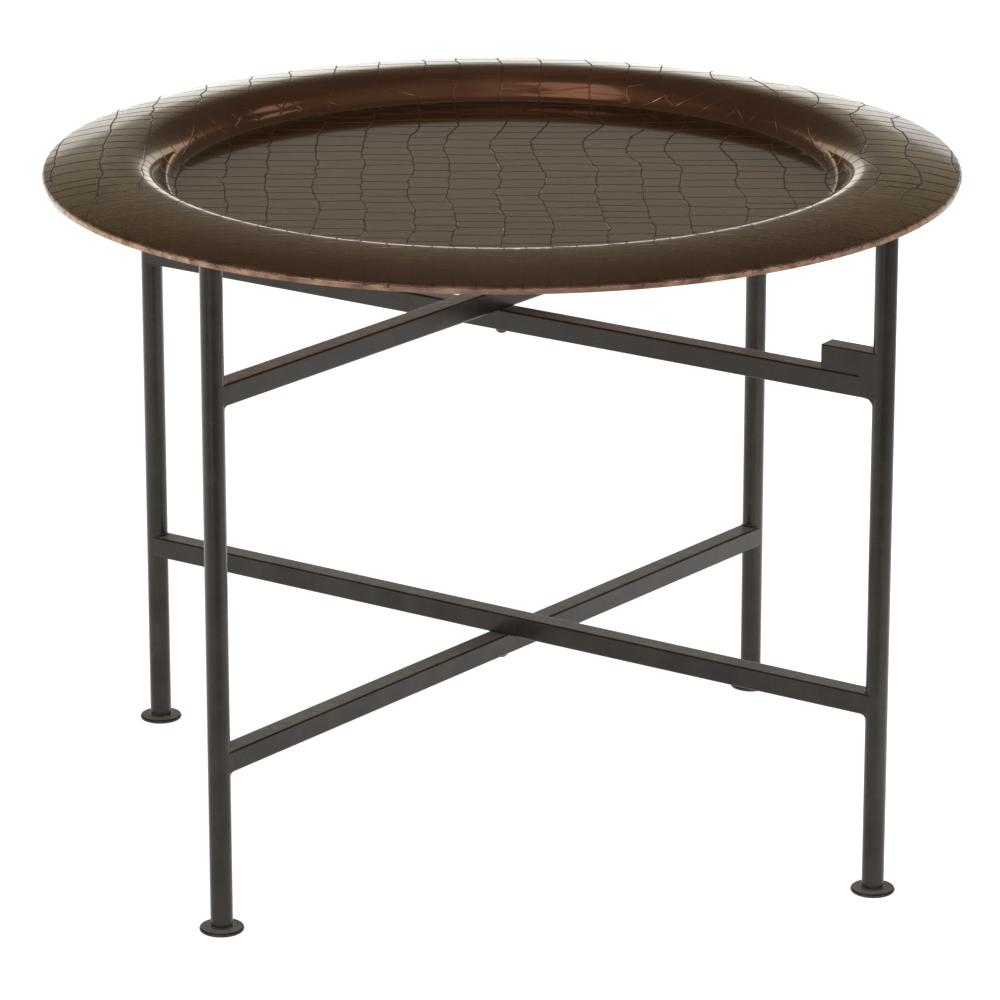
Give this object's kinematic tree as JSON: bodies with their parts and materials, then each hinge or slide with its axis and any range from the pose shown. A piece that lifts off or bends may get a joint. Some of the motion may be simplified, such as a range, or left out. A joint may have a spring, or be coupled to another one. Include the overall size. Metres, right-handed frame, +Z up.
{
  "type": "folding tray table",
  "caption": "Round embossed metal tray with a domed rim, resting on a folding stand of two crossed steel H-frames with round legs and disc feet.",
  "frame": {"origin": "on the ground, on the upright pivot axis of the stand, under the middle of the tray", "axes": "+Z up along the pivot axis, +X to the right and +Y away from the front of the table"},
  "size_m": [0.6, 0.6, 0.4535],
  "materials": {
    "tray_metal": "dark copper-bronze lacquer over crocodile-embossed sheet, glossy satin",
    "blackened_steel": "warm charcoal, satin, welds ground smooth",
    "foot_steel": "warm charcoal, glossier than the bars",
    "pivot_steel": "darkened steel"
  },
  "bodies": {
    "frame_b": {"leg_front_right": "blackened_steel", "leg_back_left": "blackened_steel", "foot_front_right": "foot_steel", "foot_back_left": "foot_steel", "lower_rail_b": "blackened_steel", "upper_rail_b": "blackened_steel", "rail_end_block": "blackened_steel", "lower_pivot_pin": "pivot_steel"},
    "frame_a": {"leg_front_left": "blackened_steel", "leg_back_right": "blackened_steel", "foot_front_left": "foot_steel", "foot_back_right": "foot_steel", "lower_rail_a": "blackened_steel", "upper_rail_a": "blackened_steel", "upper_pivot_pin": "pivot_steel"},
    "tray": {"tray": "tray_metal"}
  },
  "joints": [
    {"name": "stand_fold", "type": "hinge", "parent": "frame_b", "child": "frame_a", "pos_m": [0, 0, 0.235], "axis": [0, 0, 1], "range_deg": [-80, 87]},
    {"name": "tray_lift", "type": "slide", "parent": "frame_b", "child": "tray", "axis": [0, 0, 1], "range_m": [0, 0.3]}
  ]
}
